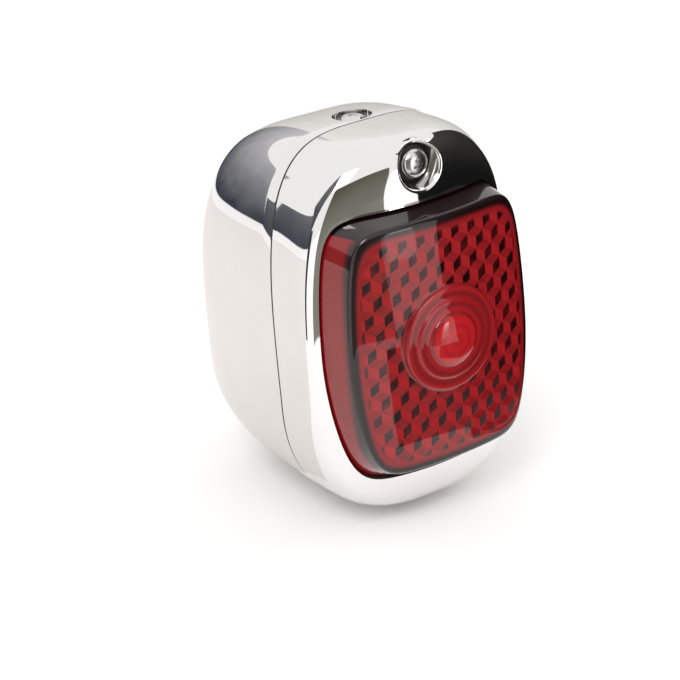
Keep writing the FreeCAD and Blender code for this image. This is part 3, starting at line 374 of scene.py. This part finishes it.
spokes = [math.tau * k / SIDES for k in range(SIDES)]
profiles = [dish_profile(spoke) for spoke in spokes]
dish_rings = [[(profile[k][0] * math.cos(spoke), profile[k][1], DISH_Z + profile[k][0] * math.sin(spoke))
               for spoke, profile in zip(spokes, profiles)] for k in range(len(profiles[0]))]
plug_front, plug_back = -95.0, -66.0
plug = [[(0, plug_front, DISH_Z)] * SIDES]
plug += [[(p[0], y, p[2]) for p in dish_rings[2]] for y in (plug_front, plug_back)]
plug.append([(0, plug_back, DISH_Z)] * SIDES)
dish = rolled("dish", dish_rings)
cut(cover, rolled("dish_hole", plug))
bpy.ops.object.select_all(action="DESELECT")
dish.select_set(True)
cover.select_set(True)
bpy.context.view_layer.objects.active = cover
bpy.ops.object.join()
smoothed(cover, 38)
cover.data.materials.clear()
cover.data.materials.append(chrome.material)
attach(cover, "door")
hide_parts("bezel")


# Lens: one clear red moulding with a smooth outside. Its face bulges with the bezel and carries a
# stepped bull's-eye. Behind the face a honeycomb of three-sided reflex prisms throws light back. The
# prisms are not built: their light and shade is painted into the lens colour. So are the light on
# the bull's-eye and a band of shade round the face's edge.

FACE_FRONT, FACE_SWEEP = 91.0, 4.6
EDGE_ROUND = 1.6
EYE_Z, EYE_EDGE, EYE_CORE = 11.8, 16.2, 7.6
EYE_FOOT, EYE_FOOT_INSIDE = 16.1, 15.7
FACE_HALF_WIDTH, FACE_HALF_HEIGHT = 31.4, 39.1
LENS_BACK = -88.8
DOME_RADIUS, DOME_BASE, DOME_RISE = 8.1, -92.62, 1.9


def lens_front(x):
    return FACE_FRONT - FACE_SWEEP * (x / LENS_HALF_WIDTH) ** 2


def face_level(inset, back, share=0.0, hub=0.0):
    """A ring on the lens face, at a share of the way from its edge to a round hub."""
    ring = []
    for turn in TURNS:
        x, z = lens_outline(turn, -EDGE_ROUND - inset, -4.0 - inset)
        x += (hub * math.cos(turn) - x) * share
        z += (EYE_Z + hub * math.sin(turn) - z) * share
        ring.append((x, back - lens_front(x), z))
    return ring


def eye_ring(radius, y):
    return [(radius * math.cos(turn), y, EYE_Z + radius * math.sin(turn)) for turn in TURNS]


flange = []
for grow, gap in ((0, 2.0), (1.1, 2.0), (1.1, 3.6), (-2.2, 3.6)):
    ring = [lens_outline(turn, grow, grow) for turn in TURNS]
    flange.append([(x, gap - door_front(x), z) for x, z in ring])
corner = []
for k in range(9):
    turn_over = 0.5 * math.pi * k / 8
    inset, sunk = 1 - math.cos(turn_over), 1 - math.sin(turn_over)
    corner.append(face_level(EDGE_ROUND * inset, EDGE_ROUND * sunk))
face = [face_level(EDGE_ROUND, 0.0, k / 24, EYE_FOOT) for k in range(1, 25)]
rim = [[(p[0], -lens_front(p[0]) - lift, p[2]) for p in eye_ring(radius, 0.0)]
       for radius, lift in ((15.95, 0.05), (15.8, 0.25))]
eye = [eye_ring(radius, y) for radius, y in (
    (15.7, -91.55), (15.62, -91.78), (15.42, -91.9), (15.0, -91.95), (13.6, -91.98),
    (12.35, -91.95), (12.02, -92.0), (11.92, -92.15), (11.86, -92.4), (11.76, -92.56),
    (11.5, -92.64), (10.2, -92.68), (8.55, -92.64), (8.2, -92.7))]
climbs = [k / 16 * math.pi / 2 for k in range(1, 16)]
dome = [eye_ring(DOME_RADIUS * math.cos(up), DOME_BASE - DOME_RISE * math.sin(up)) for up in climbs]
dome.append([(0, DOME_BASE - DOME_RISE, EYE_Z)] * len(TURNS))
back = [[(0, LENS_BACK, EYE_Z)] * len(TURNS)]
back += [face_level(2.2, 2.2, share, EYE_FOOT_INSIDE) for share in (1.0, 0.7, 0.35, 0.0)]
lens = rolled("lens_moulding", flange[:1] + corner + face + rim + eye + dome + back + flange[::-1])
smoothed(lens, 50)
red = Look("red_lens", {"Roughness": 0.35, "IOR": 1.49, "Specular IOR Level": 0.15,
                        "Coat Weight": 1.0, "Coat Roughness": 0.02, "Coat IOR": 1.5})
x = red.axis("X") * 1000.0
height = red.axis("Z") * 1000.0
z = height - EYE_Z
PITCH = 5.9
ROW = PITCH * math.sqrt(3)


def wrapped(value, span):
    return red.node("ShaderNodeMath", {"operation": "WRAP"}, [value, 0.5 * span, -0.5 * span])


def eased(value, low, high):
    return red.node("ShaderNodeMapRange", {"interpolation_type": "SMOOTHSTEP"},
                    {"Value": value, "From Min": low, "From Max": high})


near_x, near_z = wrapped(x, PITCH), wrapped(z, ROW)
far_x, far_z = wrapped(x + 0.5 * PITCH, PITCH), wrapped(z + 0.5 * ROW, ROW)
take_far = (far_x * far_x + far_z * far_z).below(near_x * near_x + near_z * near_z)
cell_x = near_x + (far_x - near_x) * take_far
cell_z = near_z + (far_z - near_z) * take_far
right = cell_x * 0.866 + cell_z * 0.5
left = cell_x * -0.866 + cell_z * 0.5
down = cell_z * -1.0
steepest = right.larger(left).larger(down)
# The prisms are not built: painted shade darkens their dark and lower facets in the lens colour.
painted_dark_facet_shade = eased(left - right.larger(down), 0.1, 0.9)
painted_low_facet_shade = eased(down - right.larger(left), -0.2, 0.2)
up_lens = height - LENS_CENTRE
rise = up_lens / LENS_HALF_HEIGHT
low_half = height.below(LENS_CENTRE)
half = FACE_HALF_WIDTH - rise * rise * (3.5 + 3.0 * low_half)
tall = FACE_HALF_HEIGHT - 2.4 * low_half
sideways = (x / half).math("ABSOLUTE") ** LENS_POWER
upright = (up_lens / tall).math("ABSOLUTE") ** LENS_POWER
edge_share = (sideways + upright) ** (1.0 / LENS_POWER)
from_edge = (1.0 - edge_share) * LENS_HALF_WIDTH
hollow = (x * x + z * z) ** 0.5
outside_eye = hollow.above(EYE_EDGE)
patterned = outside_eye * eased(from_edge, 3.2, 4.4)
# Painted glints that vary the brightness of the bright facets.
glint = red.noise(330.0, 2.0)
painted_facet_light = 0.72 - 0.66 * painted_dark_facet_shade - 0.22 * painted_low_facet_shade + 0.5 * (glint - 0.5)
# Painted light on the bull's-eye: bright and dim rings across its steps, and a painted highlight that
# brightens the core of the dome.
painted_ring_light = (hollow * 2.1).math("COSINE")
painted_eye_light = (1.0 - outside_eye) * (0.16 * painted_ring_light + 0.35 * hollow.below(EYE_CORE))
plain = 0.55 + 0.3 * (red.noise(70.0) - 0.5) + painted_eye_light
share = (painted_facet_light * patterned + plain * (1.0 - patterned)).clamped()
# Painted shade: a dark band about 2 to 3 mm wide round the face's edge; the side wall below the brow
# keeps nine tenths of its colour.
on_wall = eased(edge_share, 0.995, 1.01) * height.below(47.0)
clear_of_painted_edge_shade = eased(from_edge, 1.6, 3.2)
share = share * (clear_of_painted_edge_shade + (1.0 - clear_of_painted_edge_shade) * on_wall * 0.9)
red.feed("Base Color", red.blend(share, (0.008, 0.0006, 0.001, 1), (0.40, 0.002, 0.006, 1)))
red.relief((steepest / 3.0) * patterned, 0.0012, 0.5)
lens.data.materials.append(red.material)
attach(lens, "door")
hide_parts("lens")


# Bezel screw: a plated steel pan head with a cross recess, on a washer at the bottom of the dish. Its
# shank passes through the bezel into the captive nut behind.

def pan_screw(name, seat, head, shank, length, forward):
    """A pan head on its seat with a threaded shank behind it; forward turns it towards the lens."""
    radius, rise = head
    crown = ((0.35, 0.985), (0.62, 0.93), (0.82, 0.80), (0.93, 0.62), (0.985, 0.42))
    outline = [(0.0, rise)] + [(radius * out, rise * up) for out, up in crown]
    outline += [(radius, rise * 0.2), (radius, 0.06), (radius - 0.08, 0.0), (shank, 0.0)]
    pitch, recess_taper = 0.8, 0.55
    for k in range(int(length / pitch) - 1):
        depth = -pitch * (k + 0.4)
        outline += [(shank * 0.80, depth), (shank, depth - 0.4 * pitch)]
    outline += [(shank * 0.8, -length + 0.3), (0.0, -length)]
    turns = [math.tau * k / 72 for k in range(72)]
    rings = [[(r * math.cos(turn), r * math.sin(turn), h) for turn in turns] for r, h in outline]
    screw = rolled(name, rings)
    for angle in (0, math.pi / 2):
        bpy.ops.mesh.primitive_cube_add(size=1, location=(0, 0, rise * 0.001), rotation=(0, 0, angle))
        wing = bpy.context.object
        wing.scale = (0.00105 * radius, 0.00024 * radius, 0.0009 * rise)
        bpy.ops.object.transform_apply(location=True, rotation=True, scale=True)
        for vertex in wing.data.vertices:
            if vertex.co.z < rise * 0.001:
                vertex.co.x *= recess_taper
                vertex.co.y *= recess_taper
        cut(screw, wing)
    turn = Matrix.Rotation(math.pi / 2, 4, "X") if forward else Matrix.Identity(4)
    spin = Matrix.Rotation(0.5, 4, "Z")
    screw.data.transform(Matrix.Translation(Vector(seat) * 0.001) @ turn @ spin)
    smoothed(screw, 35)
    return screw


steel = Look("bright_screw", {"Metallic": 1.0})
steel.feed("Base Color", steel.blend(steel.noise(900.0), (0.62, 0.61, 0.60, 1), (0.78, 0.77, 0.76, 1)))
steel.feed("Roughness", 0.14 + 0.16 * steel.noise(1800.0, 4.0))
door_screw = pan_screw("bezel_screw", seat=(0, DISH_FLOOR - 1.0, DISH_Z), head=(4.3, 2.8),
                       shank=1.65, length=18.1, forward=True)
door_screw.data.materials.append(steel.material)
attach(door_screw, "screw")
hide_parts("door_screw")


# Top screw: a smaller plated pan head in the shell's pressed seat, over a toothed lock washer. It holds
# the bracket that carries the captive nut.

top_screw = pan_screw("crown_screw", seat=(0, SEAT_Y, SEAT_FLOOR + 0.6), head=(3.8, 2.3),
                      shank=2.0, length=7.2, forward=False)
top_screw.data.materials.append(steel.material)
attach(top_screw, "housing")
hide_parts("top_screw")
finish_node("top_screw_washer", steel)


# Zinc-plated steel: the screw bracket with its nuts, the mounting plate and studs, the socket's
# bracket and rivets, the lens straps with their studs and nuts, the hook tab and the contact spring.

zinc = Look("zinc_steel", {"Metallic": 1.0})
bloom = zinc.noise(160.0, 4.0)
zinc.feed("Base Color", zinc.blend(bloom, (0.46, 0.47, 0.47, 1), (0.66, 0.66, 0.63, 1)))
zinc.feed("Roughness", 0.28 + 0.25 * zinc.noise(500.0, 4.0))
zinc.relief(zinc.noise(2600.0, 3.0), 0.00004)
for name in ("screw_bracket", "captive_nut", "top_screw_nut", "mount_plate", "mounting_studs",
             "socket_bracket", "bracket_rivets", "lens_straps", "strap_studs", "strap_nuts",
             "bezel_hook", "contact_spring"):
    finish_node(name, zinc)


# Rubber: the ring between shell and bezel, the rim under the lens, the washer under the bezel screw
# and the grommet that the leads come out of.

rubber = Look("rubber", {"Metallic": 0.0, "Specular IOR Level": 0.35})
dust = rubber.noise(300.0)
rubber.feed("Base Color", rubber.blend(dust, (0.012, 0.012, 0.013, 1), (0.035, 0.034, 0.033, 1)))
rubber.feed("Roughness", 0.55 + 0.25 * rubber.noise(900.0))
rubber.relief(rubber.noise(3500.0), 0.00005)
for name in ("rim_gasket", "lens_gasket", "screw_seal", "wire_grommet"):
    finish_node(name, rubber)


# Brass: the bayonet socket's shell, its two sprung contacts, and the bulb's cap and pins.

brass = Look("brass", {"Metallic": 1.0})
tarnish = brass.noise(220.0, 5.0)
brass.feed("Base Color", brass.blend(tarnish, (0.48, 0.34, 0.15, 1), (0.78, 0.60, 0.30, 1)))
brass.feed("Roughness", 0.20 + 0.25 * brass.noise(700.0, 4.0))
for name in ("socket_shell", "socket_contacts", "bulb_base", "bulb_pins"):
    finish_node(name, brass)


# Contact carrier: a disc of pressed phenolic that slides in the socket on its spring.

phenolic = Look("insulator", {"Metallic": 0.0})
fibres = phenolic.noise(600.0, 6.0)
phenolic.feed("Base Color", phenolic.blend(fibres, (0.06, 0.03, 0.02, 1), (0.17, 0.09, 0.055, 1)))
phenolic.feed("Roughness", 0.45 + 0.2 * phenolic.noise(1500.0))
finish_node("contact_carrier", phenolic)


# Bulb: clear blown glass cemented in a brass cap, with two solder contacts, a glass stem, stiff support
# wires and two drawn tungsten filaments.

glass = Look("glass", {"Metallic": 0.0, "IOR": 1.5, "Transmission Weight": 1.0})
glass.feed("Base Color", glass.blend(glass.noise(90.0), (0.93, 0.95, 0.95, 1), (0.99, 1.0, 1.0, 1)))
glass.feed("Roughness", 0.01 + 0.02 * glass.noise(200.0))
solder = Look("solder", {"Metallic": 1.0})
grain = solder.noise(1200.0)
solder.feed("Base Color", solder.blend(grain, (0.50, 0.50, 0.51, 1), (0.74, 0.74, 0.74, 1)))
solder.feed("Roughness", 0.3 + 0.25 * solder.noise(2200.0))
solder.relief(solder.noise(2400.0), 0.0001)
tungsten = Look("tungsten", {"Metallic": 1.0})
drawn = tungsten.noise(900.0)
tungsten.feed("Base Color", tungsten.blend(drawn, (0.20, 0.195, 0.19, 1), (0.38, 0.37, 0.36, 1)))
tungsten.feed("Roughness", 0.32 + 0.2 * tungsten.noise(3000.0))
for name, look in (("bulb_glass", glass), ("bulb_stem", glass), ("bulb_contacts", solder),
                   ("filament_supports", tungsten), ("filaments", tungsten)):
    finish_node(name, look)


# Studio: a pale sweep of paper under the light, soft light from all round, and grey cards out of
# sight that give the chrome something to reflect.

FLOOR_Z = -0.0492
bpy.ops.mesh.primitive_plane_add(size=8.0, location=(0, 0, FLOOR_Z))
floor = bpy.context.object
floor.name = "floor"
paper = Look("paper", {"Specular IOR Level": 0.1})
paper.feed("Base Color", paper.blend(paper.noise(3.0), (0.93, 0.93, 0.93, 1), (0.96, 0.96, 0.96, 1)))
paper.feed("Roughness", 0.85 + 0.1 * paper.noise(40.0))
floor.data.materials.append(paper.material)

world = bpy.data.worlds.new("studio")
bpy.context.scene.world = world
world.use_nodes = True
sky = world.node_tree.nodes["Background"].inputs
sky["Color"].default_value = (1.0, 0.995, 0.985, 1)
sky["Strength"].default_value = 1.0

SEEN_FROM = Vector((0.0, -0.06, 0.02))
FLOOR_REACH = 0.0686


def heading(azimuth, elevation):
    """The way from the light to what stands at an azimuth and an elevation."""
    flat = math.cos(elevation)
    return Vector((math.sin(azimuth) * flat, -math.cos(azimuth) * flat, math.sin(elevation)))


def card(name, radius, corners, low, high, glow=0.0):
    """A curved card round the light, out of the camera's sight, that shades from its foot to its head.
    Its corners are (azimuth, elevation) in degrees; what would sink below the floor lies on it."""
    bpy.ops.mesh.primitive_grid_add(x_subdivisions=24, y_subdivisions=12)
    made = bpy.context.object
    made.name = name
    (a, b, c, d) = [Vector(pair) for pair in corners]
    for vertex in made.data.vertices:
        u, v = 0.5 + 0.5 * vertex.co.x, 0.5 + 0.5 * vertex.co.y
        azimuth, elevation = (a.lerp(b, u)).lerp(d.lerp(c, u), v)
        away = heading(math.radians(azimuth), math.radians(elevation))
        reach = min(radius, FLOOR_REACH / -away.z) if away.z < 0 else radius
        vertex.co = SEEN_FROM + away * reach
    made.visible_camera = False
    made.visible_diffuse = False
    made.visible_shadow = False
    look = Look(name, {"Roughness": 1.0, "Specular IOR Level": 0.0, "Emission Strength": glow})
    heights = [vertex.co.z for vertex in made.data.vertices]
    climb = (look.axis("Z") - min(heights)) / (max(heights) - min(heights) + 0.0001)
    tint = look.blend((climb + 0.3 * (look.noise(9.0) - 0.5)).clamped(), low, high)
    look.feed("Base Color", tint)
    if glow:
        look.feed("Emission Color", tint)
    made.data.materials.append(look.material)


card("card_right", 0.30, [(30, -40), (112, -36), (112, 48), (26, 58)],
     (0.004, 0.004, 0.005, 1), (0.05, 0.05, 0.045, 1))
card("card_front", 0.32, [(-48, -20), (9, -21), (8, 24), (-54, 38)],
     (0.20, 0.20, 0.17, 1), (0.08, 0.085, 0.06, 1))
card("card_behind", 0.9, [(-200, -4), (-143, -4), (-148, 22), (-200, 34)],
     (0.035, 0.04, 0.055, 1), (0.50, 0.50, 0.52, 1))
card("card_left", 0.9, [(-144, -4), (-97, -3), (-97, 16), (-143, 7)],
     (0.05, 0.055, 0.07, 1), (0.16, 0.165, 0.18, 1))
card("card_slope", 0.9, [(-98, 2), (-60, 40), (-64, 58), (-102, 22)],
     (0.04, 0.045, 0.055, 1), (0.16, 0.165, 0.18, 1))
card("card_thin", 0.6, [(-95, -18), (-88, -18), (-88, 6), (-99, 6)],
     (0.03, 0.03, 0.035, 1), (0.06, 0.06, 0.07, 1))
card("card_far", 1.2, [(114, 0), (162, 0), (170, 34), (114, 34)],
     (0.50, 0.48, 0.46, 1), (0.78, 0.77, 0.75, 1))
card("card_paper", 0.9, [(-182, -62), (-96, -62), (-98, -6), (-182, -6)],
     (0.80, 0.775, 0.755, 1), (0.92, 0.905, 0.89, 1))
card("card_near", 0.3, [(-2, -37), (33, -37), (31, -22), (4, -22)],
     (0.06, 0.058, 0.055, 1), (0.16, 0.155, 0.15, 1))
card("glare", 0.5, [(10, -15), (21, -15), (20, 8), (12, 8)],
     (0.25, 0.25, 0.25, 1), (1.0, 1.0, 1.0, 1), 7.0)

LAMP_AIM = Vector((0, -0.06, 0.01))
for name, where, width, watts in (("key", (-0.9, -0.9, 1.3), 0.7, 9.0),
                                  ("fill", (1.1, -0.6, 0.9), 0.9, 4.0)):
    lamp = bpy.data.lights.new(name, "AREA")
    lamp.energy = watts
    lamp.size = width
    holder = bpy.data.objects.new(name, lamp)
    bpy.context.collection.objects.link(holder)
    holder.location = where
    holder.rotation_euler = (Vector(where) - LAMP_AIM).to_track_quat("Z", "Y").to_euler()

camera = bpy.data.cameras.new("camera")
camera.lens = 105.9
camera.sensor_width = 36.0
viewpoint = bpy.data.objects.new("camera", camera)
bpy.context.collection.objects.link(viewpoint)
azimuth, elevation, roll = math.radians(-31.74), math.radians(22.98), math.radians(-5.36)
aim = Vector((-0.0224, -0.0675, 0.0107))
distance = 0.58
turn = Euler((math.pi / 2 - elevation, 0, azimuth)).to_matrix() @ Matrix.Rotation(roll, 3, "Z")
viewpoint.matrix_world = Matrix.Translation(aim + heading(azimuth, elevation) * distance) @ turn.to_4x4()
bpy.context.scene.camera = viewpoint
bpy.context.scene.view_settings.view_transform = "Standard"
